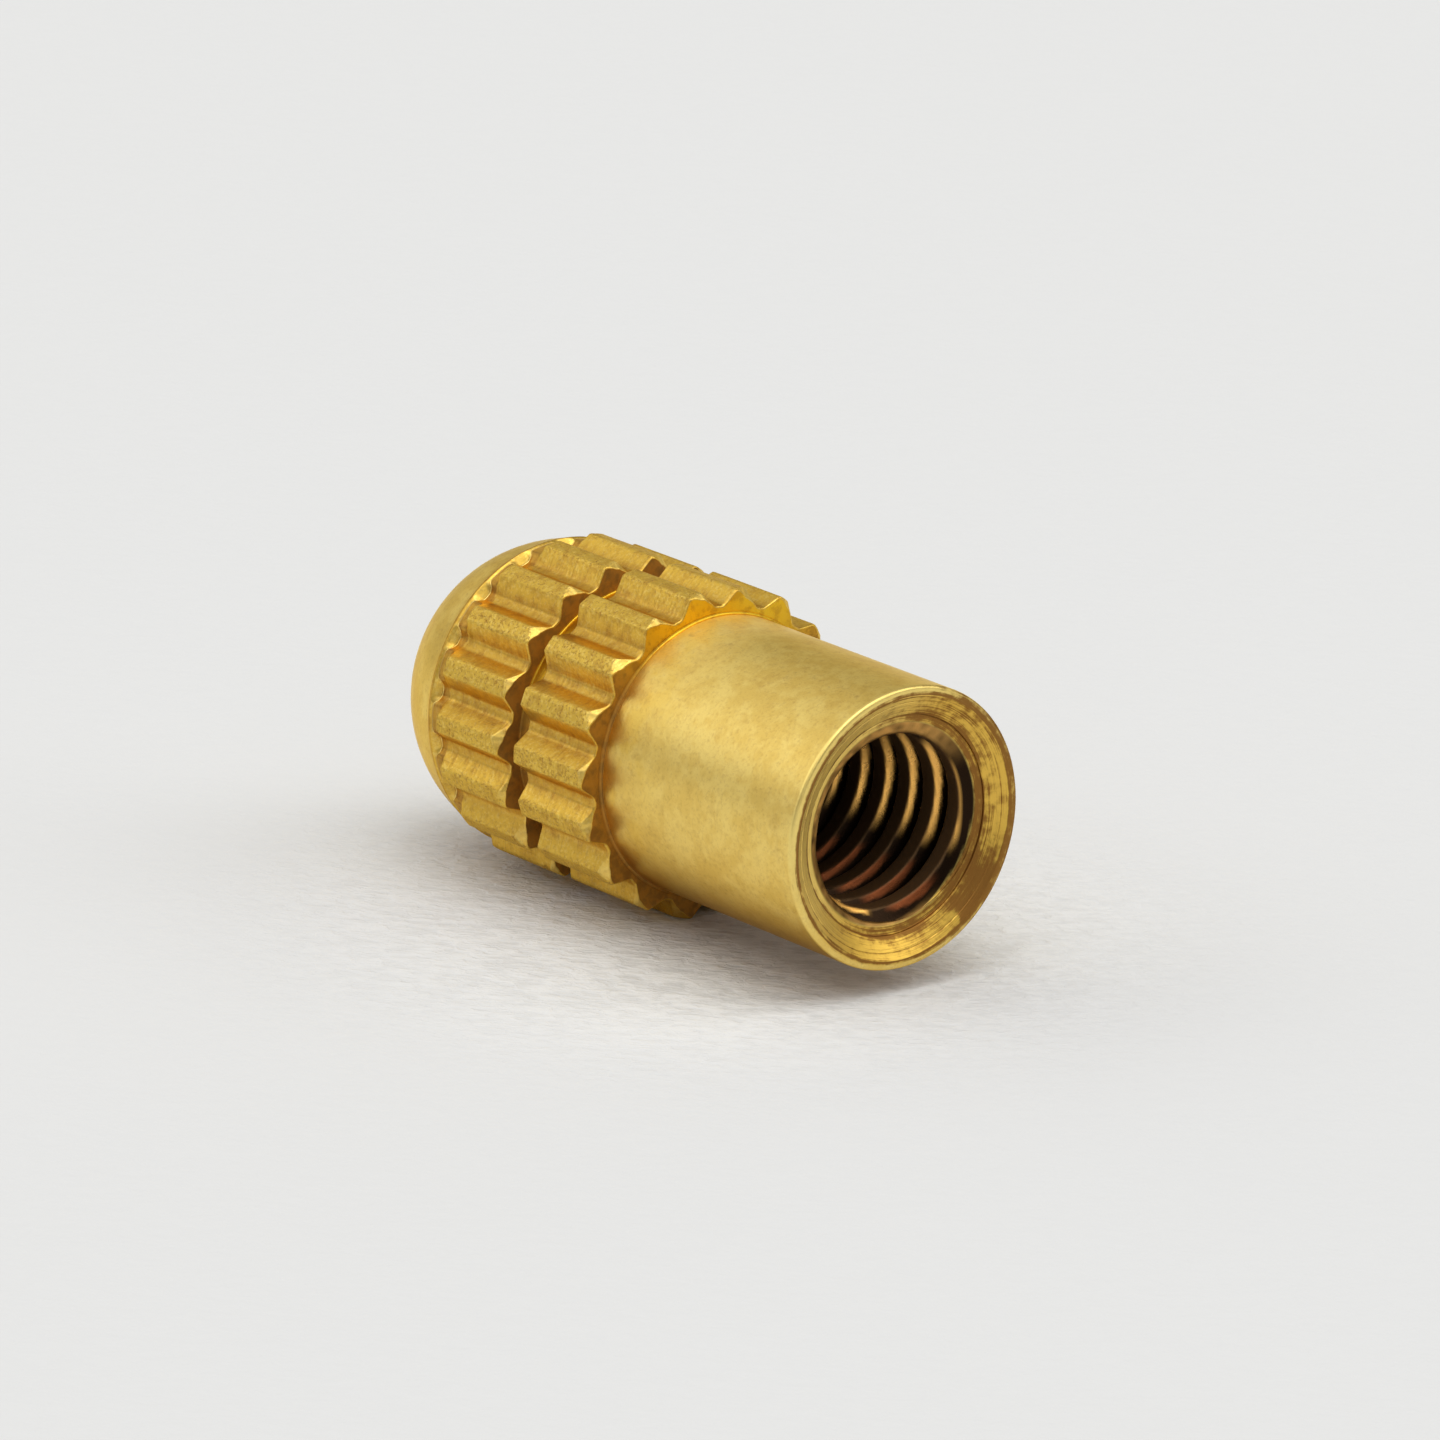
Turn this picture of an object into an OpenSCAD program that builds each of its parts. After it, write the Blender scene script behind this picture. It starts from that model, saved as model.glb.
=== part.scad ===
// Blind threaded insert, turned from one brass bar: a plain neck with a countersunk
// threaded bore, two fluted bands that grip the moulding round it, and a domed closed end.
// It lies on its side: +X points out of the mouth and +Z points up.
// The screw thread itself is a surface detail. The bore has the thread's crest diameter.

/* [Neck] */
// Outer diameter of the plain neck
neck_d = 5.3; // [5.1:0.05:5.5]
// Length of the plain neck, from the mouth to the front band
neck_len = 5.45; // [3:0.05:8]
// Radius of the round on the outer edge of the mouth
lip_round = 0.16; // [0.08:0.02:0.24]
// Leg of the small fillet where the neck meets the front band
neck_fillet = 0.08; // [0.04:0.01:0.12]

/* [Bands] */
// Diameter over the ridges of both bands
band_d = 6.3; // [6.15:0.05:6.6]
// Length of the front band, next to the neck
front_band_len = 2.0; // [1:0.05:4]
// Length of the full-height part of the rear band, next to the dome
rear_band_len = 1.95; // [1:0.05:4]
// Break on the edges of the ridges at the ends that face the mouth
ridge_break = 0.05; // [0.02:0.01:0.08]
// Length of the slope from the rear band's ridges down to the dome
rear_slope_len = 0.35; // [0.15:0.05:0.8]

/* [Flutes] */
// Number of flutes round each band
flute_count = 18; // [12:2:20]
// Diameter across the bottoms of the flutes
flute_root_d = 5.68; // [5.62:0.02:5.78]
// Width of the flat at the bottom of a flute
flute_root_w = 0.2; // [0.1:0.02:0.26]
// Angle between the two flanks of a flute
flute_angle = 90; // [70:1:94]

/* [Groove] */
// Width of the groove between the two bands
groove_w = 0.5; // [0.2:0.05:1]
// Diameter of the groove's floor
groove_d = 5.2; // [4.8:0.05:5.4]

/* [Dome] */
// Radius of the domed end
dome_r = 3.0; // [2.95:0.01:3.05]
// Distance from the dome's centre to the shoulder where the dome begins
dome_set = 0.5; // [0.3:0.05:0.6]

/* [Bore] */
// Diameter of the bore over the thread's crests
bore_d = 3.3; // [2.8:0.05:3.6]
// Thickness of the metal left between the tip of the bore and the end of the dome
end_wall = 2.75; // [1:0.05:5]
// Angle of the cone that the drill leaves at the bottom
drill_angle = 118; // [90:1:140]
// Width of the flat ring between the lip's round and the countersink
rim_flat = 0.02; // [0.01:0.01:0.1]
// Angle of the countersink
sink_angle = 120; // [100:1:130]
// Diameter of the small step in the countersink, just outside the thread
step_d = 4.12; // [4.0:0.02:4.3]
// Depth of that step
step_h = 0.04; // [0.02:0.01:0.08]

/* [Hidden] */

round_fn = 96;
cut_over = 0.5;
dome_join = 0.3;

neck_r = neck_d / 2;
band_r = band_d / 2;
groove_r = groove_d / 2;
root_r = flute_root_d / 2;
bore_r = bore_d / 2;
sink_r = neck_r - lip_round - rim_flat;
step_r = step_d / 2;

// Distances back from the mouth
front_end = neck_len + front_band_len;
rear_start = front_end + groove_w;
rear_end = rear_start + rear_band_len;
shoulder = rear_end + rear_slope_len;
dome_centre = shoulder - dome_set;
overall_len = dome_centre + dome_r;
shoulder_r = sqrt(dome_r * dome_r - dome_set * dome_set);

// Depths at which the countersink reaches its step and the bore
sink_slope = tan(sink_angle / 2);
step_depth = (sink_r - step_r) / sink_slope;
sink_depth = step_depth + step_h + (step_r - bore_r) / sink_slope;
drill_tip = bore_r / tan(drill_angle / 2);
bore_depth = overall_len - end_wall - drill_tip;

// What a round of radius r takes off a square corner at the origin, the metal below and left
module corner_round(r) {
    translate([-r, -r])
        difference() {
            square(2 * r);
            circle(r = r, $fn = round_fn);
        }
}

// Half section of the turned body without its dome: radius across, mouth at 0, body downwards.
// Past the shoulder it tapers inside the dome, so the two overlap there.
module body_section() {
    difference() {
        polygon([
            [0, 0],
            [neck_r, 0],
            [neck_r, neck_fillet - neck_len],
            [neck_r + neck_fillet, -neck_len],
            [band_r - ridge_break, -neck_len],
            [band_r, -neck_len - ridge_break],
            [band_r, -front_end],
            [groove_r, -front_end],
            [groove_r, -rear_start],
            [band_r - ridge_break, -rear_start],
            [band_r, -rear_start - ridge_break],
            [band_r, -rear_end],
            [shoulder_r, -shoulder],
            [shoulder_r - dome_join, -shoulder - dome_join],
            [0, -shoulder - dome_join]]);
        translate([neck_r, 0]) corner_round(lip_round);
    }
}

// The part of the sphere beyond the shoulder
module dome() {
    intersection() {
        translate([0, 0, -dome_centre]) sphere(r = dome_r, $fn = round_fn);
        translate([0, 0, -shoulder - 2 * dome_r]) cylinder(r = 2 * dome_r, h = 2 * dome_r, $fn = round_fn);
    }
}

// One flute's section: flat root and two straight flanks that open outwards
module flute_section() {
    flank_h = band_r + cut_over - root_r;
    flank_w = flank_h * tan(flute_angle / 2);
    polygon([
        [root_r, -flute_root_w / 2],
        [root_r + flank_h, -flute_root_w / 2 - flank_w],
        [root_r + flank_h, flute_root_w / 2 + flank_w],
        [root_r, flute_root_w / 2]]);
}

// All the flutes, cut through both bands from end to end
module flutes() {
    for (i = [0 : flute_count - 1])
        rotate([0, 0, i * 360 / flute_count])
            translate([0, 0, -shoulder - cut_over])
                linear_extrude(height = shoulder - neck_len + 2 * cut_over)
                    flute_section();
}

// Countersink, its step, the plain bore and the drill's cone, as one revolved cutter
module bore() {
    rotate_extrude($fn = round_fn)
        polygon([
            [0, cut_over],
            [sink_r + cut_over * sink_slope, cut_over],
            [step_r, -step_depth],
            [step_r, -step_depth - step_h],
            [bore_r, -sink_depth],
            [bore_r, -bore_depth],
            [0, -bore_depth - drill_tip]]);
}

module insert_body() {
    color([0.80, 0.66, 0.30])
        rotate([0, 90, 0])
            difference() {
                union() {
                    difference() {
                        rotate_extrude($fn = round_fn) body_section();
                        flutes();
                    }
                    dome();
                }
                bore();
            }
}

insert_body();
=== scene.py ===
"""Blind threaded insert in turned brass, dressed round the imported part.

Laid out as an add-on: the sizes, the finish and the studio are property groups, each piece
is one operator, and a panel in the sidebar lists them. Run as a script it makes everything.
"""
import math

import bpy
import numpy as np
from mathutils import Matrix, Vector


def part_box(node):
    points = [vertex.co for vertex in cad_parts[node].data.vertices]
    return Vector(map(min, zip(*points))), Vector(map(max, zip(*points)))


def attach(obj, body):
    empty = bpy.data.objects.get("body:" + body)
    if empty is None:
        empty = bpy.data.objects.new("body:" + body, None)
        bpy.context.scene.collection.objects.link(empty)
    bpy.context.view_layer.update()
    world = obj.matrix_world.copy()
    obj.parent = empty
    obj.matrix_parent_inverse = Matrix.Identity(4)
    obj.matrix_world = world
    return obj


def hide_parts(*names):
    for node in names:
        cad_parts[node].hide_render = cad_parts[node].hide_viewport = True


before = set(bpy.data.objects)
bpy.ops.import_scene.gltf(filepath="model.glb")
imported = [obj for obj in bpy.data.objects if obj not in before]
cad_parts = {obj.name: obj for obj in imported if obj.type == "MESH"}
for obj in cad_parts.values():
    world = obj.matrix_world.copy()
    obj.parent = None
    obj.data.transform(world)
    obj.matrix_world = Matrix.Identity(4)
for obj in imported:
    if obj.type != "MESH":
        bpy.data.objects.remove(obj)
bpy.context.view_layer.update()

bl_info = {
    "name": "Threaded insert",
    "version": (1, 0, 0),
    "blender": (4, 5, 0),
    "location": "3D View > Sidebar > Insert",
    "description": "A blind threaded insert in brass, with two fluted bands and a domed end",
    "category": "Add Mesh",
}

MM = 0.001
DEG = math.pi / 180
TURN = 2 * math.pi
NODE = "insert_body"
FLOOR_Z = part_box(NODE)[0].z

# Points round the outside, and round the bore: a third as many.
COLUMNS = 432
BORE_COLUMNS = 144
DOME_RINGS = 22

# Parts of the outer profile, by the numbers that rounded_path gives its stretches.
RIM = (0, 1, 2)
LIP = (1, 2)
NECK = (3,)
FOOT = (4,)
END_FACE = (5,)
CHAMFERS = (6, 7, 8, 16, 17, 18)
LANDS = (8, 9, 10, 18, 19, 20)
LAND_RUNS = (9, 19)
GROOVE = (11, 12, 13, 14, 15)
GROOVE_FLOOR = (12, 13, 14)
SLOPE = (21, 22, 23)
WALL_FOOT = (24,)
WALL = (25,)
COLLAR = (26, 27, 28)
DOME = (32,)

# Shares that the mesh hands to its material, one number a point.
ZONES = ("inside", "crest", "strip", "red_reflection", "mouth", "stain", "band", "ridge", "flute", "edge",
         "groove", "top", "warm", "below")

# Soft panels of the studio: azimuth and elevation in degrees, strength and sharpness.
PANELS = (
    (70, 81, 2.5, 14),
    (323, 31, 1.22, 12),
    (322, 63, 0.50, 9),
    (70, 61, 0.50, 13),
    (125, 57, 0.62, 15),
    (139, 31, 1.95, 18),
    (5, 44, 0.25, 9),
    (56, 36, 0.66, 9),
    (155, 52, 0.20, 12),
    (209, 2, 1.00, 12),
    (262, 34, 0.50, 10),
    (271, 7, 0.30, 11),
)

FLOOR_HALF = 2.0
CAMERA_AIM = Vector((-6.06, 0.60, 0.404)) * MM
SENSOR_WIDTH = 36


# Sizes, finish and studio -------------------------------------------------------------------

def length(name, about, value, low=0.0, high=50.0):
    """A length property: value, low and high are in millimetres."""
    return bpy.props.FloatProperty(name=name, description=about, default=value * MM,
                                   min=low * MM, max=high * MM, precision=5, unit="LENGTH")


def angle(name, about, value):
    """An angle property: value is in degrees."""
    return bpy.props.FloatProperty(name=name, description=about, default=value * DEG,
                                   subtype="ANGLE", unit="ROTATION")


def count(name, about, value, low=1, high=1000):
    return bpy.props.IntProperty(name=name, description=about, default=value, min=low, max=high)


def share(name, about, value, low=0.0, high=1.0):
    return bpy.props.FloatProperty(name=name, description=about, default=value, min=low, max=high,
                                   subtype="FACTOR")


def colour(name, about, value):
    return bpy.props.FloatVectorProperty(name=name, description=about, default=value, min=0.0,
                                         max=1.0, size=3, subtype="COLOR")


class InsertSizes(bpy.types.PropertyGroup):
    """Sizes of the insert. The main ones are those of the part's source. The lip's round, the
    ridges' chamfers and their rear ends are finer here."""
    neck_r: length("Neck radius", "Outer radius of the plain neck", 2.65)
    neck_len: length("Neck length", "From the mouth to the front band", 5.45)
    band_r: length("Ridge radius", "Radius over the ridges", 3.15)
    root_r: length("Flute radius", "Radius at the bottom of a flute", 2.84)
    root_w: length("Flute root", "Width of the flat at the bottom of a flute", 0.2)
    flute_angle: angle("Flute angle", "Angle between the flanks of a flute", 90)
    flute_count: count("Flutes", "Number of flutes round a band", 18)
    front_end: length("Front band end", "From the mouth to the groove", 7.45)
    rear_start: length("Rear band start", "From the mouth to the rear band", 7.95)
    shoulder: length("Shoulder", "From the mouth to where the dome begins", 10.25)
    groove_r: length("Groove radius", "Radius of the groove's floor", 2.6)
    dome_r: length("Dome radius", "Radius of the domed end", 3.0)
    dome_centre: length("Dome centre", "From the mouth to the dome's centre", 9.75)
    crest_r: length("Rim crest", "Radius of the rim's foremost line", 2.48)
    sink_r: length("Countersink radius", "Radius of the countersink at the mouth", 2.47)
    sink_angle: angle("Countersink angle", "Angle between the countersink's sides", 120)
    step_r: length("Step radius", "Radius of the step in the countersink", 2.06)
    step_h: length("Step depth", "Depth of that step", 0.04)
    mark_r: length("Tool mark radius", "Radius of the fine ring cut in the countersink", 2.34)
    mark_depth: length("Tool mark depth", "Depth of that ring", 0.008)
    bore_r: length("Thread crest radius", "Radius over the thread's crests", 1.65)
    bore_depth: length("Bore depth", "From the mouth to the drill's cone", 9.0086)
    drill_angle: angle("Drill angle", "Angle of the cone at the bottom", 118)
    pitch: length("Pitch", "Pitch of the right-hand thread", 0.7)
    land_r: length("Land radius", "Inner radius of the narrow land inside the step", 1.9)
    land_x: length("Land depth", "From the mouth to the land's inner edge", 0.318)
    thread_h: length("Thread height", "From the thread's crest to its root", 0.31)
    crest_flat: length("Thread crest", "Width of the flat on the thread's crest", 0.32)
    first_crest: length("First crest", "From the mouth to the foremost crest at angle 0", 0.62)
    thread_stop: length("Thread stop", "Plain bore left between the thread and the cone", 0.9)
    lip_round: length("Lip round", "How far the lip's round reaches from its corner", 0.19)
    ridge_break: length("Ridge break", "Chamfer on the front end of a ridge", 0.11)
    ridge_end: length("Ridge end", "From the mouth to where the rear ridges end", 9.81)
    shelf_r: length("Shelf radius", "Radius between the rear ridges and the collar", 2.975)
    collar_r: length("Collar radius", "Radius of the fine collar where the dome begins", 3.005)
    collar_start: length("Collar", "From the mouth to the collar's front edge", 10.17)
    edge_round: length("Edge round", "Half the width of the round on a ridge's long edges", 0.016)


class InsertFinish(bpy.types.PropertyGroup):
    """Colours of the brass."""
    brass: colour("Brass", "Brass of the neck and the dome", (0.93, 0.70, 0.21))
    dull: colour("Dull brass", "Duller patches on the neck and the dome", (0.84, 0.59, 0.15))
    # Rub: burrs rubbed clean; on the lip's upper side and the countersink's near side it is a
    # painted highlight.
    rub: colour("Rubbed brass", "Edges rubbed clean", (0.96, 0.75, 0.24))
    ridge: colour("Ridges", "Pitted brass of the ridges", (0.75, 0.50, 0.085))
    flank: colour("Flanks", "Cut brass of the flutes", (0.79, 0.50, 0.075))
    mouth: colour("Mouth", "Brass of the countersink", (0.77, 0.49, 0.085))
    # Brown: tarnish on ridges and rim; on the underside of the neck and the dome it is painted
    # shade.
    brown: colour("Brown", "Tarnish on ridges, rim and underside", (0.38, 0.170, 0.037))
    # Umber: tarnish in the groove and on the end face, and painted shade behind the ridges' ends
    # and away from the upper side.
    umber: colour("Umber", "Dark tarnish in the groove and on the end face", (0.43, 0.18, 0.018))
    # Amber: the upper side of the groove and the end face, painted as lit, and patches on the
    # neck by its foot.
    amber: colour("Amber", "Clear tarnish there on the upper side", (0.82, 0.49, 0.022))
    # Soot is real soot in the thread and the groove; in the thread it is also painted shade.
    soot: colour("Soot", "Dirt in the thread", (0.020, 0.011, 0.006))
    # The crests' dull dark brass is real wear and painted shade: they reflect the dim bore.
    crest: colour("Thread crest", "Dull brass of the thread's crests", (0.13, 0.07, 0.03))
    # Painted red-brown reflection low in the thread.
    red_reflection: colour("Ruddy brass", "Red-brown film low in the thread", (0.24, 0.065, 0.02))
    # Painted glint: a painted reflection of brass on the thread's flanks.
    strip: colour("Thread flank", "Clean brass on the thread's flanks", (1.0, 0.54, 0.13))


class InsertStudio(bpy.types.PropertyGroup):
    """Floor, light and camera."""
    floor: colour("Floor", "Colour of the floor", (0.755, 0.755, 0.745))
    backdrop: colour("Backdrop", "Colour behind the floor", (0.81, 0.80, 0.785))
    power: share("Panels", "Strength of the soft panels", 1.02, 0.0, 4.0)
    dim: share("Room", "Light from where no panel stands", 0.1)
    lens: bpy.props.FloatProperty(name="Lens", description="Focal length", default=222.77,
                                  unit="CAMERA")
    distance: length("Camera distance", "From the camera to its aim", 164.47, 0, 1000)
    azimuth: angle("Camera azimuth", "From looking along +Y, towards +X", 50.585)
    elevation: angle("Camera elevation", "Above the floor's plane", 16.538)
    roll: angle("Camera roll", "Turn about its own line of sight", 2.114)


# Meshes ---------------------------------------------------------------------------------------

def smooth_max(a, b, blend):
    """The larger of two heights with the crossing rounded: half of their sum, plus half of the
    root of their squared difference and the squared blend."""
    return 0.5 * (a + b + np.sqrt((a - b) ** 2 + blend ** 2))


def smooth_min(a, b, blend):
    """The smaller of two heights with the crossing rounded, in the same way."""
    return -smooth_max(-a, -b, blend)


def smooth_step(low, high, value):
    """0 below low, 1 above high, and three squares less two cubes of the share between."""
    t = np.clip((value - low) / (high - low), 0, 1)
    return t * t * (3 - 2 * t)


def sector(turn, middle, wide, full):
    """Share of a sector round the axis: 1 within full degrees of its middle, eased to 0 at
    wide degrees from it. Angles run from +Y towards +Z."""
    return smooth_step(wide, full, np.abs((turn / DEG - middle + 180) % 360 - 180))


def ripple(seed, along, around, x, turn, terms=14):
    """Uneven surface between about -1 and 1: a sum of sine waves, each with a random whole
    number of waves round the axis up to around, a random wave number along it up to along
    per metre, and a random start."""
    rng = np.random.default_rng(seed)
    total = np.zeros(np.broadcast(x, turn).shape)
    for _ in range(terms):
        waves = rng.integers(-around, around + 1)
        rate = rng.uniform(-along, along)
        start = rng.uniform(0, TURN)
        total = total + np.sin(rate * x + waves * turn + start)
    return total / math.sqrt(terms / 2) / 2


def rounded_path(xs, rs, setbacks, arc_steps, run_steps, guard):
    """Carries a profile past its corners, all columns at once. It runs straight between
    corners and turns each one on a parabola that starts and ends its setback away, or at 45 %
    of the shorter straight if that is less. Each run has a ring of points guard away from
    both its ends. Returns the points' x and r, and the number of the stretch each ring is in:
    twice the corner's number on a turn, and one more on the run after it."""
    points = np.stack([np.stack(np.broadcast_arrays(*xs)), np.stack(np.broadcast_arrays(*rs))])
    step = np.diff(points, axis=1)
    run = np.maximum(np.hypot(step[0], step[1]), 1e-9)
    way = step / run
    last = len(xs) - 1
    rows = []
    kinds = []
    leave = points[:, 0]
    rows.append(points[:, 0])
    kinds.append(0)
    for k in range(1, last + 1):
        corner = points[:, k]
        if k < last:
            room = 0.45 * np.minimum(run[k - 1], run[k])
            back = np.minimum(setbacks[k], room)
            enter = corner - back * way[:, k - 1]
            depart = corner + back * way[:, k]
        else:
            enter = corner
            depart = corner
        span = np.maximum(np.hypot(*(enter - leave)), 1e-9)
        edge = np.minimum(guard / span, 0.2)
        shares = np.linspace(0, 1, run_steps[k - 1] + 1)
        for t in shares[:-1]:
            rows.append(leave + (enter - leave) * (edge + (1 - 2 * edge) * t))
            kinds.append(2 * k - 1)
        rows.append(leave + (enter - leave) * (1 - edge))
        kinds.append(2 * k - 1)
        if k < last:
            for t in np.linspace(0, 1, arc_steps[k]):
                rows.append((1 - t) ** 2 * enter + 2 * t * (1 - t) * corner + t * t * depart)
                kinds.append(2 * k)
        else:
            rows.append(corner)
            kinds.append(2 * k)
        leave = depart
    path = np.stack(rows, axis=1)
    return path[0], path[1], np.array(kinds)


def flute_edges(s):
    """Angles from a flute's centre to where its flank meets the root, and to where it meets
    the ridge: the tangent of the first is half the root's width over the root's radius, and
    the second follows from the line that leaves that edge at half the flute's angle."""
    slope = math.tan(s.flute_angle / 2)
    low = math.atan(s.root_w / 2 / s.root_r)
    reach = (s.root_r * slope - s.root_w / 2) / (s.band_r * math.hypot(slope, 1))
    high = math.acos(reach) - math.atan(1 / slope)
    return low, high


def band_turns(s):
    """Angles of the columns round a band, in radians: in each half of a flute's pitch, three
    columns crowd at either edge of the flank, and the rest are spread evenly between them."""
    low, high = flute_edges(s)
    half = TURN / s.flute_count / 2
    tight = 2 * s.edge_round / s.band_r
    crowd = tight * np.array([-1, 0, 1])
    flank = np.linspace(low + tight, high - tight, 5)[1:-1]
    away = np.concatenate([[0, low / 2], low + crowd, flank, high + crowd, [(high + half) / 2]])
    cell = np.concatenate([away, 2 * half - away[:0:-1], [half]])
    cell.sort()
    cells = np.arange(s.flute_count)[:, None] * 2 * half + cell
    return np.sort((cells.ravel() - TURN / 4 + 1e-9) % TURN)


def ridge_height(turn, s):
    """Radius over a band's surface at an angle round the axis. A flute's centre is straight
    down. From it the radius is that of the flat root, then of the straight flank, which
    leaves the root's edge at half the flute's angle, then of the ridge; each crossing is
    rounded."""
    cell = TURN / s.flute_count
    away = np.abs((turn + TURN / 4 + cell / 2) % cell - cell / 2)
    slope = math.tan(s.flute_angle / 2)
    root = s.root_r / np.cos(away)
    flank = (s.root_r * slope - s.root_w / 2) / (slope * np.cos(away) - np.sin(away))
    return smooth_min(smooth_max(root, flank, 2 * s.edge_round), s.band_r, s.edge_round)


def burr_share(turn, s, spread):
    """Share of the burr on the front end of a ridge: a bell curve across each ridge, with its
    peak a quarter of the way from the ridge's middle towards the flute of smaller angle."""
    cell = TURN / s.flute_count
    side = ((turn + TURN / 4) % cell - cell / 2) / (cell / 2)
    return np.exp(-((side + 0.26) / spread) ** 2)


def outer_skin(s):
    """Rings from the rim's crest over the neck, both bands and the dome: for each column the
    profile runs through the corners of the turned form, with the ridge's height there. Sines
    of the ridge's number make the ridges' ends and chamfers differ a little. On the neck the
    columns turn from an even spread to the bands' own."""
    even = np.arange(COLUMNS) * TURN / COLUMNS
    turn = band_turns(s)
    one = np.ones_like(turn)
    top = ridge_height(turn, s)
    rise = (top - s.root_r) / (s.band_r - s.root_r)
    ridge_no = np.round(turn / (TURN / s.flute_count))
    lift = 0.010 * MM
    front_top = top + lift * np.sin(ridge_no * 2.4 + 1.0) * rise - lift
    rear_top = top + lift * np.sin(ridge_no * 3.7) * rise - lift
    front_wave = (0.012 * np.sin(ridge_no * 5.1) * rise + 0.006 * np.sin(31 * turn)) * MM
    rear_wave = (0.015 * np.sin(ridge_no * 4.3 + 2) * rise + 0.006 * np.sin(37 * turn)) * MM
    cut = s.ridge_break * (0.22 + 0.95 * burr_share(turn, s, 0.26))
    front_cut = cut * (1 + 0.35 * np.sin(ridge_no * 1.9 + 0.5))
    rear_cut = cut * (1 + 0.35 * np.sin(ridge_no * 2.9 + 1.5))
    shelf = np.minimum(rear_top, s.shelf_r)
    wall_x = s.collar_start - (0.13 - 0.07 * smooth_step(0.3, 0.6, rise)) * MM
    end_x = s.ridge_end + 0.03 * MM * np.sin(ridge_no * 3.3 + 0.7)
    dome_x = s.shoulder + 0.06 * MM
    on_dome = math.sqrt(s.dome_r ** 2 - (dome_x - s.dome_centre) ** 2)
    path = [
        (0 * one, s.crest_r * one, 0, 1, 1),
        (0 * one, s.neck_r * one, s.lip_round, 9, 9),
        (-s.neck_len * one, s.neck_r * one, 0.05 * MM, 5, 2),
        (-s.neck_len + front_wave, front_top - front_cut, 0.012 * MM, 3, 2),
        (-s.neck_len + front_wave - front_cut, front_top, 0.025 * MM, 3, 14),
        (-s.front_end * one, front_top, 0.025 * MM, 3, 2),
        (-s.front_end * one, s.groove_r * one, 0.03 * MM, 3, 2),
        (-s.rear_start * one, s.groove_r * one, 0.03 * MM, 3, 2),
        (-s.rear_start + rear_wave, rear_top - rear_cut, 0.012 * MM, 3, 2),
        (-s.rear_start + rear_wave - rear_cut, rear_top, 0.025 * MM, 3, 14),
        (-end_x, rear_top, 0.035 * MM, 4, 2),
        (-end_x - 0.09 * MM, shelf, 0.02 * MM, 3, 2),
        (-wall_x, shelf, 0.01 * MM, 3, 2),
        (-s.collar_start * one, s.collar_r * one, 0.012 * MM, 3, 1),
        (-(s.collar_start + 0.05 * MM) * one, (s.collar_r - 0.015 * MM) * one, 0.02 * MM, 3, 1),
        (-dome_x * one, on_dome * one, 0, 1, 0),
    ]
    xs, rs, setbacks, arcs, runs = zip(*path)
    x, r, kind = rounded_path(xs, rs, setbacks, arcs, runs, 0.012 * MM)
    start = math.acos((dome_x - s.dome_centre) / s.dome_r)
    polar = start * (1 - np.arange(1, DOME_RINGS) / DOME_RINGS)[:, None]
    x = np.vstack([x, -s.dome_centre - s.dome_r * np.cos(polar) * one])
    r = np.vstack([r, s.dome_r * np.sin(polar) * one])
    kind = np.concatenate([kind, np.full(len(polar), DOME[0])])
    crowding = smooth_step(-0.5 * MM, -s.neck_len + 0.3 * MM, x)
    turns = even + (turn - even) * crowding
    uneven = ripple(11, 2600, 40, x, turns) * 0.005 * MM
    r = r + uneven * np.isin(kind, LAND_RUNS)[:, None]
    return x, r, turns, kind, rise


def thread_ahead(x, turn, s):
    """How far a point lies ahead of the nearest crest of the helix, towards the mouth, in
    pitches: the helix moves back by one pitch a turn."""
    phase = (x + s.first_crest - s.pitch * turn / TURN) / s.pitch
    return phase - np.round(phase)


def thread_wall(x, turn, s):
    """Radius of the threaded wall. The distance along the axis to the nearest crest of the
    helix gives it: the crest's radius within half the flat, then a 60 degree flank, then the
    root, each crossing rounded. The height fades out before the drill's cone."""
    off = np.abs(thread_ahead(x, turn, s)) * s.pitch
    flank = (off - s.crest_flat / 2) * math.tan(60 * DEG)
    height = smooth_min(smooth_max(flank, 0, 0.018 * MM), s.thread_h, 0.02 * MM)
    end = -s.bore_depth + s.thread_stop
    return s.bore_r + height * smooth_step(end, end + 2 * s.pitch, x)


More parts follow.
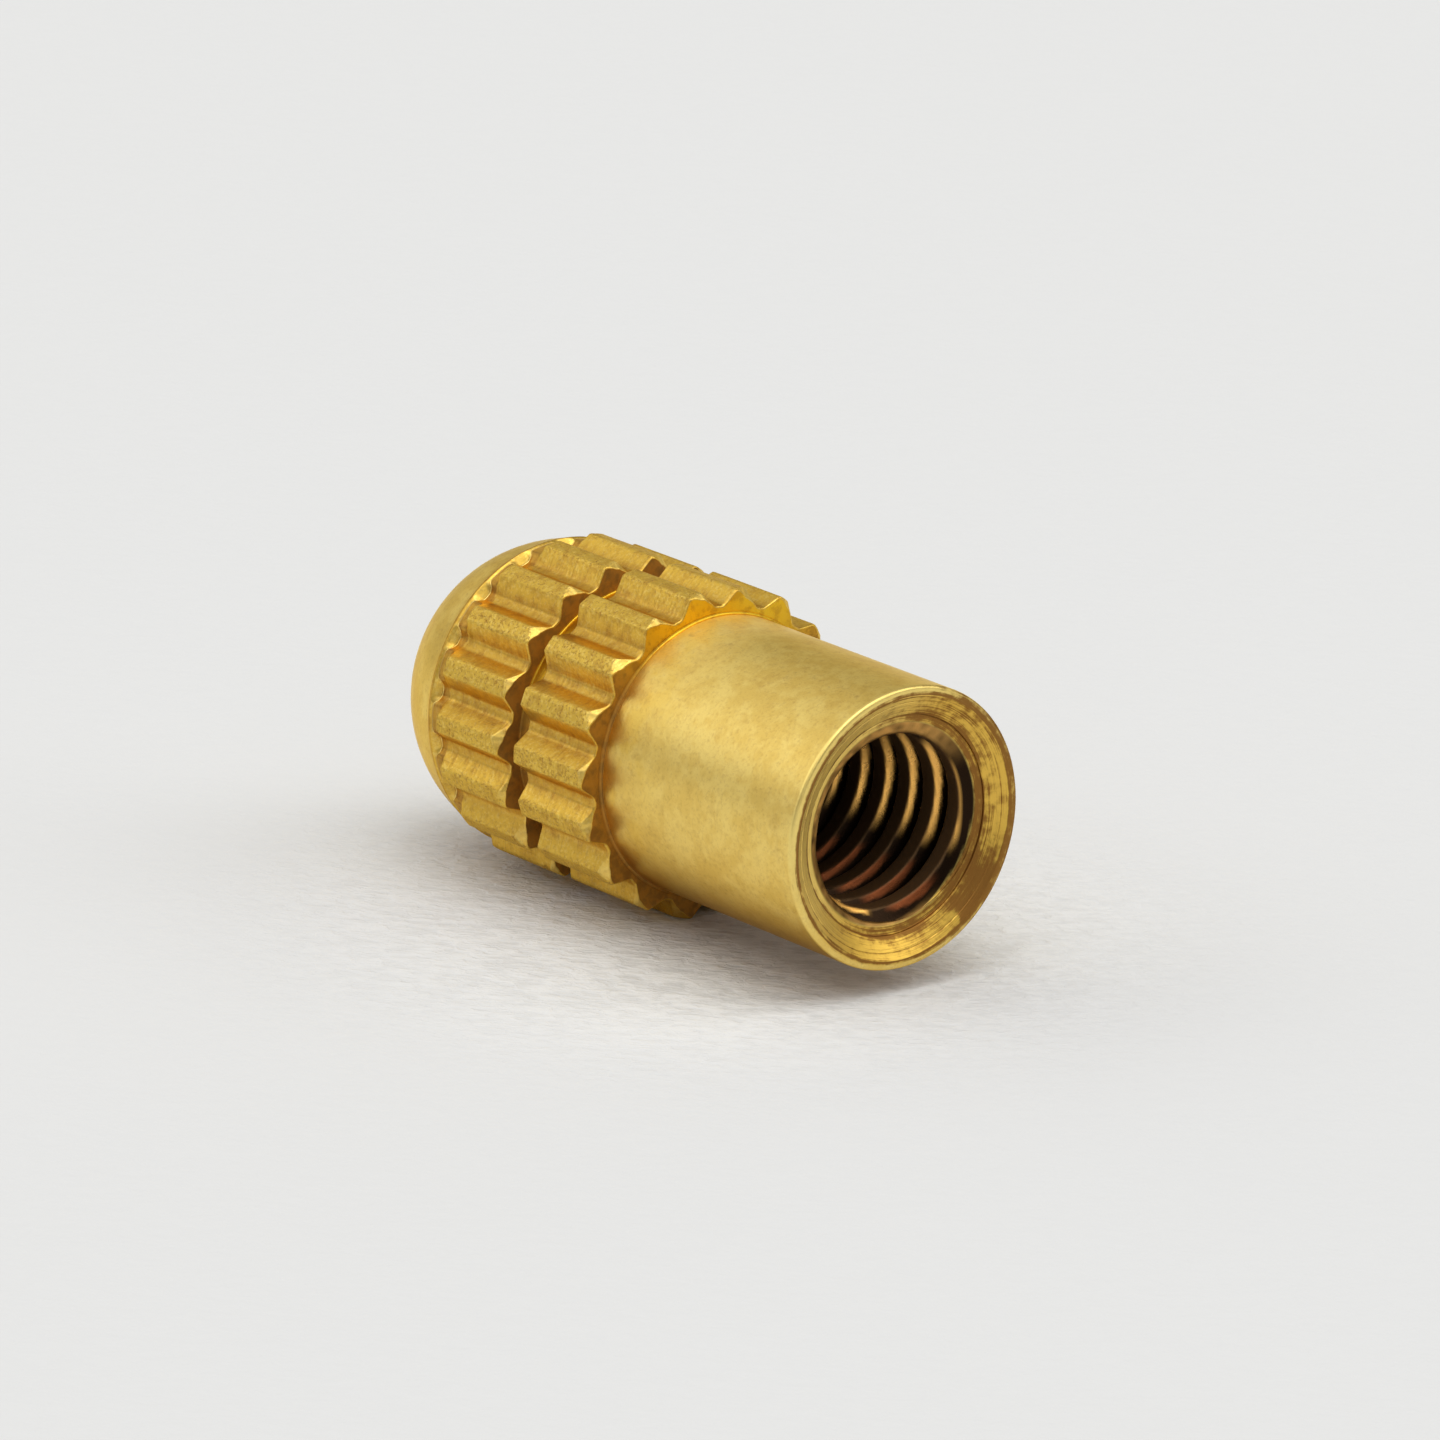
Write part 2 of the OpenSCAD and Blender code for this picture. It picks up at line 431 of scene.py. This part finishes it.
def inner_skin(s):
    """Rings from the drill's tip through the thread and the countersink to the rim's crest.
    They stand closest in the front half of the thread, which shows through the mouth."""
    deep_rings, near_rings, brink_rings = 44, 150, 7
    turn = np.arange(BORE_COLUMNS) * TURN / BORE_COLUMNS
    one = np.ones_like(turn)
    slope = math.tan(s.sink_angle / 2)
    step_x = (s.sink_r - s.step_r) / slope
    low_x = step_x + s.step_h
    near_x = 4.4 * MM
    brink_x = s.land_x + 0.02 * MM
    fine = 0.006 * MM
    deep = np.linspace(s.bore_depth - 0.03 * MM, near_x, deep_rings, endpoint=False)
    near = np.linspace(near_x, brink_x, near_rings, endpoint=False)
    brink = np.linspace(brink_x, low_x + fine, brink_rings)
    x = -np.concatenate([deep, near, brink])[:, None]
    lead = s.land_r + (x + s.land_x) * slope
    land = s.step_r + (x + low_x) * (s.step_r - s.land_r) / (s.land_x - low_x)
    cone = smooth_max(lead, land, 2 * fine)
    wall = smooth_max(thread_wall(x, turn, s), cone, 2 * fine)
    x = x * one
    mark_x = (s.sink_r - s.mark_r) / slope
    nick = s.mark_depth
    mouth = [
        (-low_x, s.step_r, 0, 1, 1),
        (-step_x, s.step_r, 0.02 * MM, 4, 4),
        (-mark_x - nick, s.mark_r - nick * slope, fine, 3, 1),
        (-mark_x - nick, s.mark_r, fine, 3, 1),
        (-mark_x + nick, s.mark_r + nick * slope, fine, 3, 4),
        (0, s.sink_r, 0, 1, 0),
    ]
    xs, rs, setbacks, arcs, runs = zip(*mouth)
    mouth_x, mouth_r, _ = rounded_path([v * one for v in xs], [v * one for v in rs], setbacks,
                                       arcs, runs, fine)
    tip = s.bore_r / math.tan(s.drill_angle / 2)
    cone_share = np.array([0.15, 0.5, 0.85, 1.0])[:, None]
    cone_x = -(s.bore_depth + tip * (1 - cone_share)) * one
    cone_r = s.bore_r * cone_share * one
    x = np.vstack([cone_x, x, mouth_x])
    r = np.vstack([cone_r, wall, mouth_r])
    return x, r, turn


def ring_points(x, r, turn):
    """Points of rings: x along the axis, r times the cosine and the sine of the angle."""
    return np.stack([x, r * np.cos(turn), r * np.sin(turn)], axis=-1).reshape(-1, 3)


def ring_quads(first, rings, cols):
    """Quads between neighbouring rings, each from a ring to the next, then round."""
    at = first + np.arange(rings * cols).reshape(rings, cols)
    on = np.roll(at, -1, axis=1)
    return np.stack([at[:-1], at[1:], on[1:], on[:-1]], axis=-1).reshape(-1, 4)


def build_mesh(name, points, quads, triangles):
    """A mesh of the points and faces, smooth all over."""
    mesh = bpy.data.meshes.new(name)
    mesh.from_pydata(points.tolist(), [], quads.tolist() + triangles.tolist())
    mesh.validate()
    mesh.shade_smooth()
    mesh.update()
    return mesh


def give_attribute(mesh, name, values):
    """One number for each point of the mesh, for its material."""
    layer = mesh.attributes.new(name, "FLOAT", "POINT")
    layer.data.foreach_set("value", np.asarray(values, np.float32).ravel())


def inner_zones(s, x, r, turn):
    """Shares for the material in the bore. Inside the land all is sooty, real soot and painted
    shade, but the thread's crests, dull dark brass that is also painted shade, and a painted
    glint of brass on each flank that faces the mouth, next to its crest: clean on one side and
    at the bottom, and a painted red-brown reflection in between. Some brass shows on the
    lead-in too. On the countersink a painted dark reflection lies low on one side, thin brown
    lines run by the step, the tool mark and the rim, and it is darker towards the step, in one
    corner, and as painted shade all round but on the side at 155 degrees. That side has a
    painted highlight, lighter and less metallic."""
    # Inside the land the bore is sooty: real soot and painted shade.
    inside = smooth_step(s.land_r + 0.03 * MM, s.land_r - 0.02 * MM, r)
    inside = np.maximum(inside * (x < -s.land_x + 0.03 * MM), x < -0.4 * MM)
    ahead = thread_ahead(x, turn, s)
    uneven = ripple(3, 9000, 9, x, turn)
    swing = (turn / DEG + 180) % 360 - 180
    high = (r - s.bore_r) / s.thread_h
    # Crests: dull dark brass, real wear and painted shade.
    crest = smooth_step(0.12, 0.02, high)
    # Low and clean, below, are where round the bore the flanks show the painted glint.
    low = smooth_step(-97, -103, swing + 4 * uneven)
    reach = 0.37 + 0.12 * uneven - 0.2 * low
    # Painted glint on the inner part of each flank that faces the mouth.
    strip = (ahead > 0) * smooth_step(0.0, 0.08, high)
    strip = strip * smooth_step(reach + 0.09, reach - 0.04, high)
    clean = smooth_step(-34, -14, swing + 4 * uneven)
    clean = clean * smooth_step(62, 46, swing + 14500 * (x + 2 * MM))
    # Painted red-brown reflection on the flanks, low on one side.
    red_reflection = smooth_step(-88, -74, swing) * smooth_step(-42, -56, swing + 6 * uneven)
    lead = smooth_step(s.land_x + 0.10 * MM, s.land_x + 0.16 * MM, -x)
    smear = smooth_step(25, 75, swing) + 0.6 * smooth_step(-45, -80, swing)
    on_lead = (1 - lead) * smear * (0.75 + 0.3 * ripple(8, 60000, 50, x, turn, 40))
    blot = ripple(21, 16000, 60, x, turn, 30)
    across = smooth_step(2.01 * MM, 2.13 * MM, r + 0.05 * MM * blot)
    # A painted dark reflection on the countersink, low on one side.
    stain = smooth_step(-57, -52, swing + 2 * blot) * smooth_step(-2, -34, swing + 5 * blot)
    drift = 0.02 * MM * ripple(5, 2000, 7, 0 * x, turn, 8)
    at_rim = np.exp(-((r + drift - s.sink_r) / (0.022 * MM)) ** 2)
    at_step = np.exp(-((r + drift - s.step_r) / (0.028 * MM)) ** 2)
    at_mark = np.exp(-((r - s.mark_r) / (0.015 * MM)) ** 2)
    patchy = 1 + 0.35 * ripple(31, 2000, 25, x, turn, 12)
    line = np.maximum(at_rim * 0.9, np.maximum(at_step * patchy, at_mark * 0.5))
    line = line * (x > -0.31 * MM)
    by_step = smooth_step(2.38 * MM, 2.15 * MM, r)
    by_step = by_step + 0.6 * smooth_step(s.step_r + 0.03 * MM, s.step_r, r)
    # Painted highlight on the countersink's near side at 155 degrees: lighter and less metallic.
    bright_near_side = sector(turn, 155, 95, 50)
    corner = 0.45 * sector(turn, 50, 52, 20)
    # Darker towards the step, away from the near side.
    darker_by_step = 0.5 * sector(turn, 0, 150, 70) * by_step
    # Painted shade on the countersink all round but on the bright near side, with the lines and
    # the darker parts.
    line = np.maximum(line, np.maximum(np.maximum(darker_by_step, corner), 0.16 - 0.25 * bright_near_side))
    return {"inside": inside, "crest": np.maximum(crest * lead, on_lead) * inside,
            "strip": (strip * np.maximum(clean, low) * lead + 0.7 * on_lead) * inside,
            "red_reflection": strip * red_reflection * inside * lead,
            "mouth": 1 - inside, "stain": np.maximum(stain * across, line) * (1 - inside),
            "edge": 0.9 * bright_near_side * (1 - inside)}


def outer_zones(s, x, r, turn, kind, rise):
    """Shares for the material outside: band is all that is cut by the flutes, ridge the lands
    and flute the flutes' floors with the slope behind them, browner there as painted shade.
    Edge is rubbed clean on the burrs, and on the lip's upper side it is a painted highlight.
    Groove is the tarnish in the groove, on the end face and at the neck's foot, with painted
    shade on the slope behind the ridges' ends, and top is their upper side, painted amber as
    lit. Warm is the neck by its foot, below is painted shade on the underside of the neck and
    the dome, and stain the rim and the grey side of the lip."""
    def on(*parts):
        return np.isin(kind, sum(parts, ()))[:, None] * 1.0

    foot_x = -s.neck_len
    lip = on(LIP)
    lands = on(LANDS)
    behind = on(SLOPE, WALL_FOOT)
    rubbed = on(CHAMFERS) * burr_share(turn, s, 0.28)
    rubbed = rubbed * (0.65 + 0.35 * ripple(17, 900, 40, x, turn, 12))
    wall = on(WALL) * smooth_step(0.9, 0.4, rise)
    # Painted highlight on the lip's upper side: rub colour, less metallic.
    upper = lip * sector(turn, 130, 110, 40)
    floor = lands * smooth_step(0.55, 0.1, rise)
    # Painted shade on the slope behind the ridges' ends.
    shade = behind * smooth_step(0.5, 0.8, rise)
    foot = smooth_step(foot_x + 0.06 * MM, foot_x + 0.01 * MM, x) * on(NECK)
    rim = np.exp(-((r - s.crest_r) / (0.04 * MM)) ** 2) * on(RIM)
    grey = 0.75 * lip * sector(turn, 5, 100, 40) * smooth_step(2.46 * MM, 2.54 * MM, r)
    off_pole = on(DOME) * smooth_step(1.0 * MM, 2.8 * MM, r)
    return {"band": on(END_FACE, CHAMFERS, LANDS, SLOPE, WALL, COLLAR),
            "ridge": lands * smooth_step(0.80, 0.97, rise),
            # Flute floors are tarnished; the slope behind them is browner as painted shade.
            "flute": floor + 2 * behind * (rise < 0.8) + on(COLLAR),
            "edge": np.maximum(rubbed, np.maximum(0.15 * wall, 1.1 * upper)),
            "groove": np.maximum(on(FOOT, END_FACE, GROOVE) + foot, 0.6 * shade),
            # Top: the upper side, painted amber as lit.
            "top": np.maximum(sector(turn, 88, 62, 22) * on(NECK, FOOT, END_FACE),
                              sector(turn, 95, 85, 45) * on(GROOVE_FLOOR)),
            "warm": smooth_step(foot_x + 1.9 * MM, foot_x + 0.5 * MM, x) * on(NECK),
            # Below: painted shade, brown on the underside of the neck and the dome.
            "below": sector(turn, -95, 64, 28) * (on(NECK) + off_pole),
            "mouth": lip * smooth_step(2.57 * MM, 2.49 * MM, r),
            "stain": np.maximum(rim, grey)}


def insert_mesh(s):
    """The whole insert as one closed surface. Its rings run from the tip of the bore out
    through the mouth, over the outside and to the pole of the dome. The bore has a third of
    the outside's columns, and one band of triangles at the rim joins the two."""
    few, many = BORE_COLUMNS, COLUMNS
    xi, ri, ti = inner_skin(s)
    xo, ro, to, kind, rise = outer_skin(s)
    tip = s.bore_depth + s.bore_r / math.tan(s.drill_angle / 2)
    pole = s.dome_centre + s.dome_r
    inner = ring_points(xi, ri, ti)
    outer = ring_points(xo, ro, to)
    points = np.vstack([[[-tip, 0, 0]], inner, outer, [[-pole, 0, 0]]])
    a0 = 1
    b0 = 1 + len(inner)
    end = len(points) - 1
    quads = np.vstack([ring_quads(a0, len(xi), few), ring_quads(b0, len(xo), many)])
    rim = a0 + (len(xi) - 1) * few + np.arange(few)
    rim_on = np.roll(rim, -1)
    b = b0 + (3 * np.arange(few)[:, None] + np.arange(4)) % many
    stitch = np.vstack([
        np.stack([rim, b[:, 0], b[:, 1]], 1), np.stack([rim, b[:, 1], b[:, 2]], 1),
        np.stack([rim, b[:, 2], rim_on], 1), np.stack([rim_on, b[:, 2], b[:, 3]], 1)])
    first = a0 + np.arange(few)
    start_fan = np.stack([np.zeros(few, int), first, np.roll(first, -1)], 1)
    final = end - many + np.arange(many)
    end_fan = np.stack([final, np.full(many, end), np.roll(final, -1)], 1)
    mesh = build_mesh("insert", points, quads, np.vstack([start_fan, stitch, end_fan]))
    zones = {name: np.zeros(len(points)) for name in ZONES}
    zones["inside"][0] = 1
    for name, values in inner_zones(s, xi, ri, ti).items():
        zones[name][a0:b0] = values.ravel()
    for name, values in outer_zones(s, xo, ro, to, kind, rise).items():
        zones[name][b0:end] = (values * np.ones_like(to)).ravel()
    for name, values in zones.items():
        give_attribute(mesh, name, values)
    return mesh


# Materials ------------------------------------------------------------------------------------

class Socket:
    """An output of a shader node that the signs of arithmetic work on: each adds a Math node."""

    def __init__(self, nodes, output):
        self.nodes = nodes
        self.output = output

    def math(self, operation, first, second):
        return self.nodes.add("ShaderNodeMath", {"operation": operation}, {0: first, 1: second})

    def __add__(self, other):
        return self.math("ADD", self, other)

    def __radd__(self, other):
        return self.math("ADD", other, self)

    def __sub__(self, other):
        return self.math("SUBTRACT", self, other)

    def __rsub__(self, other):
        return self.math("SUBTRACT", other, self)

    def __mul__(self, other):
        return self.math("MULTIPLY", self, other)

    def __rmul__(self, other):
        return self.math("MULTIPLY", other, self)


class Nodes:
    """Adds nodes to a node tree."""

    def __init__(self, tree):
        self.tree = tree
        tree.nodes.clear()

    def add(self, kind, settings=None, inputs=None, output=0):
        """One node: its settings first, then the value or link of each socket named. Returns
        the socket of the output asked for."""
        node = self.tree.nodes.new(kind)
        for key, value in (settings or {}).items():
            setattr(node, key, value)
        for key, value in (inputs or {}).items():
            socket = node.inputs[key]
            if isinstance(value, Socket):
                self.tree.links.new(value.output, socket)
            else:
                socket.default_value = value
        return Socket(self, node.outputs[output]) if len(node.outputs) else node

    def noise(self, where, scale, detail, roughness):
        """Noise around a half, with scale as its features a unit of where."""
        return self.add("ShaderNodeTexNoise", None,
                        {"Vector": where, "Scale": scale, "Detail": detail,
                         "Roughness": roughness})

    def stretch(self, where, scale):
        return self.add("ShaderNodeMapping", None, {"Vector": where, "Scale": scale})

    def between(self, value, low, high, new_low=0.0, new_high=1.0):
        """The value's share of the way from low to high, eased, from new_low to new_high."""
        return self.add("ShaderNodeMapRange", {"interpolation_type": "SMOOTHSTEP"},
                        {"Value": value, "From Min": low, "From Max": high, "To Min": new_low,
                         "To Max": new_high})

    def mix(self, share, first, second):
        """A colour between two."""
        return self.add("ShaderNodeMix", {"data_type": "RGBA"},
                        {"Factor": share, 6: rgba(first), 7: rgba(second)}, 2)

    def attribute(self, name):
        return self.add("ShaderNodeAttribute", {"attribute_name": name}, None, 2)


def rgba(value):
    return value if isinstance(value, Socket) else (*value, 1.0)


def brass_material(finish):
    """Turned brass: satin on the neck and the dome, warmer by the neck's foot and browner
    underneath as painted shade, pitted on the ridges, patchy amber to umber in the groove and on
    the end face, the amber being their upper side painted as lit, streaked round the mouth, and
    sooty in the thread, soot and painted shade, with painted glints of brass. Tarnish and
    painted shade are less metallic and rougher than brass. Scales are in features a metre."""
    material = bpy.data.materials.new("brass")
    material.use_nodes = True
    n = Nodes(material.node_tree)
    place = n.add("ShaderNodeTexCoord", None, None, 3)
    z = {name: n.attribute(name) for name in ZONES}

    cloud = n.noise(place, 1300.0, 5.0, 0.65)
    blotch = n.noise(place, 4200.0, 4.0, 0.6)
    grain = n.noise(place, 15000.0, 3.0, 0.6)
    strokes = n.noise(n.stretch(place, (15000.0, 1800.0, 1800.0)), 1.0, 3.0, 0.6)
    pits = n.between(n.noise(place, 19000.0, 4.0, 0.7), 0.51, 0.63)
    specks = n.between(n.noise(place, 9000.0, 1.0, 0.4), 0.70, 0.76)
    scores = n.between(strokes, 0.50, 0.72)

    plain = n.mix(n.between(cloud * 0.6 + blotch * 0.4, 0.40, 0.60), finish.dull, finish.brass)
    film = n.between(n.noise(place, 3200.0, 5.0, 0.7), 0.50, 0.70) * 0.16
    plain = n.mix(z["warm"] * n.between(cloud, 0.42, 0.58) * 0.4, plain, finish.amber)
    plain = n.mix(specks * 0.12 + n.between(grain, 0.48, 0.72) * 0.18 + film, plain, finish.brown)
    # Painted shade: brown on the underside of the neck and the dome.
    plain = n.mix(z["below"] * (0.45 + 0.5 * blotch), plain, finish.brown)
    cut = n.mix(z["ridge"], finish.flank, finish.ridge)
    cut = n.mix(n.between(grain, 0.50, 0.62) * 0.3, cut, finish.rub)
    worn = pits * (0.20 + 0.32 * z["ridge"]) + 0.22 * scores
    worn = worn + 0.24 * n.between(blotch, 0.46, 0.64)
    # Brown: pits, scores and tarnish, and in the flutes also painted shade behind their ends.
    cut = n.mix(worn + z["flute"] * 0.28, cut, finish.brown)
    metal = n.mix(z["band"], plain, cut)
    sides = n.add("ShaderNodeVectorMath", {"operation": "MULTIPLY"},
                  {0: place, 1: (0.0, 1.0, 1.0)})
    radius = n.add("ShaderNodeVectorMath", {"operation": "LENGTH"}, {0: sides}, 1)
    across = n.add("ShaderNodeSeparateXYZ", None, {0: place}, 1) * 900.0
    upward = n.add("ShaderNodeSeparateXYZ", None, {0: place}, 2) * 900.0
    turned = n.add("ShaderNodeCombineXYZ", None, {0: radius * 42000.0, 1: across, 2: upward})
    streaks = n.noise(turned, 1.0, 3.0, 0.6)
    soiled = n.between(streaks, 0.50, 0.70) * 0.45 + n.between(blotch, 0.45, 0.66) * 0.25
    metal = n.mix(z["mouth"], metal, n.mix(soiled, finish.mouth, finish.brown))
    # Stains: brown lines, the rim and the lip's grey side, and in the countersink also painted
    # shade and a painted dark reflection.
    stain = n.between(streaks * 0.5 + blotch * 0.5 + z["stain"] * 0.36, 0.58, 0.80)
    # Rubbed burrs, and painted highlights on the lip's upper side and the countersink's near
    # side.
    metal = n.mix(z["edge"] * 0.5, metal, finish.rub)
    metal = n.mix(stain * 0.95, metal, n.mix(0.3, finish.brown, finish.soot))
    deep = n.mix(n.between(blotch, 0.40, 0.62) * 0.40, finish.umber, finish.soot)
    amber = n.mix(n.between(blotch, 0.48, 0.64) * 0.45, finish.amber, finish.umber)
    # The upper side of the groove and end face is painted amber as lit; the rest is umber to
    # soot.
    deep = n.mix(z["top"], deep, amber)
    metal = n.mix(z["groove"] * 0.92, metal, deep)
    # In the thread: soot and dark crests, real soot and painted shade.
    thread = n.mix(z["crest"], finish.soot, finish.crest)
    # Painted red-brown reflection low in the thread.
    thread = n.mix(z["red_reflection"], thread, finish.red_reflection)
    # Painted glint of brass on the flanks that face the mouth.
    thread = n.mix(z["strip"] * 0.95, thread, finish.strip)
    metal = n.mix(z["inside"], metal, thread)
    # Groove tarnish and painted shade, without the upper side painted as lit.
    tarnish_and_shade = z["groove"] * (1 - z["top"])
    # Less metallic: the neck's top by its foot, the painted highlights round the mouth, tarnish
    # and painted shade, and below it the crests and the red-brown reflection.
    whole = 1 - 0.5 * z["warm"] * z["top"] - 0.2 * z["edge"] * z["mouth"] - 0.55 * tarnish_and_shade
    whole = whole - 0.4 * z["crest"] - 0.2 * z["red_reflection"]
    rough = 0.30 + 0.12 * blotch + 0.08 * z["ridge"] + 0.1 * stain - 0.08 * z["inside"]
    rough = rough + 0.2 * tarnish_and_shade + 0.2 * z["crest"]
    rugged = z["ridge"] * pits
    height = grain * (0.4 + 0.3 * z["ridge"]) + strokes * (0.3 + 0.6 * z["band"]) - rugged * 1.2
    height = height + streaks * z["mouth"] * 0.8 + blotch * z["band"] * 1.2
    bump = n.add("ShaderNodeBump", None,
                 {"Strength": 0.45, "Distance": 0.02 * MM, "Height": height})
    shader = n.add("ShaderNodeBsdfPrincipled", None,
                   {"Base Color": metal, "Metallic": whole, "Roughness": rough,
                    "Specular Tint": (0.95, 0.80, 0.50, 1.0), "Normal": bump})
    n.add("ShaderNodeOutputMaterial", None, {"Surface": shader})
    return material


# Stage ----------------------------------------------------------------------------------------

def floor_material(studio):
    """Pale card with short fibres, longer one way than the other. They are raised near the
    part and flatter farther away, the hollows between them are darker under the neck as
    painted shade, and the card is painted a little lighter round the part, painted light
    that lifts the shadow there."""
    material = bpy.data.materials.new("floor")
    material.use_nodes = True
    n = Nodes(material.node_tree)
    place = n.add("ShaderNodeTexCoord", None, None, 3)
    laid = n.add("ShaderNodeMapping", {"vector_type": "TEXTURE"},
                 {"Vector": place, "Rotation": (0.0, 0.0, 40 * DEG),
                  "Scale": (0.42 * MM, 0.20 * MM, 1.0)})
    laid = n.add("ShaderNodeVectorMath", {"operation": "ADD"},
                 {0: laid, 1: n.noise(place, 2500.0, 2.0, 0.5)})
    fibres = n.noise(laid, 1.0, 3.0, 0.6)
    from_part = n.add("ShaderNodeVectorMath", {"operation": "DISTANCE"},
                      {0: place, 1: (-5.0 * MM, 0.0, FLOOR_Z)}, 1)
    from_neck = n.add("ShaderNodeVectorMath", {"operation": "DISTANCE"},
                      {0: place, 1: (-2.5 * MM, -0.6 * MM, FLOOR_Z)}, 1)
    raised = 0.5 + (fibres - 0.5) * n.between(from_part, 3.5 * MM, 12 * MM, 0.75, 0.15)
    bump = n.add("ShaderNodeBump", None,
                 {"Strength": 0.8, "Distance": 0.16 * MM, "Height": raised})
    darker = tuple(0.97 * part for part in studio.floor)
    # Painted shade: darker hollows under the neck.
    painted_shade = tuple(0.88 * part for part in studio.floor)
    darker = n.mix(n.between(from_neck, 2.0 * MM, 4.2 * MM), painted_shade, darker)
    # Painted light: the card is lighter round the part, lifting its shadow.
    painted_light = tuple(1.09 * part for part in studio.floor)
    card = n.mix(n.between(from_part, 4.5 * MM, 10 * MM), painted_light, studio.floor)
    tone = n.mix(n.between(raised, 0.35, 0.6), darker, card)
    shader = n.add("ShaderNodeBsdfPrincipled", None,
                   {"Base Color": tone, "Roughness": 0.9, "Specular IOR Level": 0.1,
                    "Normal": bump})
    n.add("ShaderNodeOutputMaterial", None, {"Surface": shader})
    return material


def tent_world(studio):
    """Soft panels of white light round the part and a large one overhead, dim on the camera's
    side: the light depends on direction alone. Each panel's light falls off as the exponential
    of its sharpness times the cosine of the angle from its middle, less one. Rays from the
    camera see the backdrop's own colour."""
    world = bpy.data.worlds.new("tent")
    world.use_nodes = True
    n = Nodes(world.node_tree)
    way = n.add("ShaderNodeTexCoord", None, None, 0)
    strength = studio.dim
    for azimuth, elevation, power, sharpness in PANELS:
        az, el = azimuth * DEG, elevation * DEG
        middle = (math.sin(az) * math.cos(el), -math.cos(az) * math.cos(el), math.sin(el))
        toward = n.add("ShaderNodeVectorMath", {"operation": "DOT_PRODUCT"},
                       {0: way, 1: middle}, 1)
        fall = n.add("ShaderNodeMath", {"operation": "EXPONENT"}, {0: (toward - 1) * sharpness})
        strength = fall * (power * studio.power) + strength
    light = n.add("ShaderNodeBackground", None,
                  {"Color": (1.0, 1.0, 1.0, 1.0), "Strength": strength})
    pale = n.add("ShaderNodeBackground", None, {"Color": rgba(studio.backdrop), "Strength": 1.0})
    seen = n.add("ShaderNodeLightPath", None, None, 0)
    both = n.add("ShaderNodeMixShader", None, {0: seen, 1: light, 2: pale})
    n.add("ShaderNodeOutputWorld", None, {"Surface": both})
    return world


# Operators ------------------------------------------------------------------------------------

class INSERT_OT_body(bpy.types.Operator):
    """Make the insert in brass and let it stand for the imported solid"""
    bl_idname = "insert.body"
    bl_label = "Insert body"

    def execute(self, context):
        scene = context.scene
        mesh = insert_mesh(scene.insert_sizes)
        piece = bpy.data.objects.new("threaded_insert", mesh)
        scene.collection.objects.link(piece)
        mesh.materials.append(brass_material(scene.insert_finish))
        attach(piece, "root")
        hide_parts(NODE)
        return {"FINISHED"}


class INSERT_OT_stage(bpy.types.Operator):
    """Lay the floor and set the light and the camera"""
    bl_idname = "insert.stage"
    bl_label = "Stage"

    def execute(self, context):
        scene = context.scene
        studio = scene.insert_studio
        near, far = -FLOOR_HALF, FLOOR_HALF
        corners = [(near, near, FLOOR_Z), (far, near, FLOOR_Z), (far, far, FLOOR_Z),
                   (near, far, FLOOR_Z)]
        mesh = bpy.data.meshes.new("floor")
        mesh.from_pydata(corners, [], [(0, 1, 2, 3)])
        mesh.materials.append(floor_material(studio))
        floor = bpy.data.objects.new("floor", mesh)
        scene.collection.objects.link(floor)
        scene.world = tent_world(studio)
        self.set_camera(scene, studio)
        scene.view_settings.view_transform = "Standard"
        return {"FINISHED"}

    @staticmethod
    def set_camera(scene, studio):
        """The camera looks at its aim from a distance, azimuth and elevation, rolled about its
        line of sight."""
        az, el, roll = studio.azimuth, studio.elevation, studio.roll
        back = Vector((math.sin(az) * math.cos(el), -math.cos(az) * math.cos(el), math.sin(el)))
        level = Vector((math.cos(az), math.sin(az), 0))
        right = level * math.cos(roll) + back.cross(level) * math.sin(roll)
        up = back.cross(right)
        data = bpy.data.cameras.new("camera")
        data.lens = studio.lens
        data.sensor_width = SENSOR_WIDTH
        data.clip_start = 0.01
        data.clip_end = 10
        camera = bpy.data.objects.new("camera", data)
        scene.collection.objects.link(camera)
        turned = Matrix((right, up, back)).transposed().to_4x4()
        camera.matrix_world = Matrix.Translation(CAMERA_AIM + back * studio.distance) @ turned
        scene.camera = camera


class INSERT_PT_panel(bpy.types.Panel):
    """Lists the pieces in the sidebar"""
    bl_label = "Threaded insert"
    bl_idname = "INSERT_PT_panel"
    bl_space_type = "VIEW_3D"
    bl_region_type = "UI"
    bl_category = "Insert"

    def draw(self, context):
        for kind in PIECES:
            self.layout.operator(kind.bl_idname)
        for group in GROUPS:
            settings = getattr(context.scene, group)
            for name in settings.bl_rna.properties.keys():
                if name not in ("rna_type", "name"):
                    self.layout.prop(settings, name)


GROUPS = {"insert_sizes": InsertSizes, "insert_finish": InsertFinish,
          "insert_studio": InsertStudio}
PIECES = (INSERT_OT_body, INSERT_OT_stage)


def register():
    for kind in (*GROUPS.values(), *PIECES, INSERT_PT_panel):
        bpy.utils.register_class(kind)
    for name, kind in GROUPS.items():
        setattr(bpy.types.Scene, name, bpy.props.PointerProperty(type=kind))


def unregister():
    for name in GROUPS:
        delattr(bpy.types.Scene, name)
    for kind in reversed((*GROUPS.values(), *PIECES, INSERT_PT_panel)):
        bpy.utils.unregister_class(kind)


def main():
    register()
    bpy.ops.insert.body()
    bpy.ops.insert.stage()


if __name__ == "__main__":
    main()
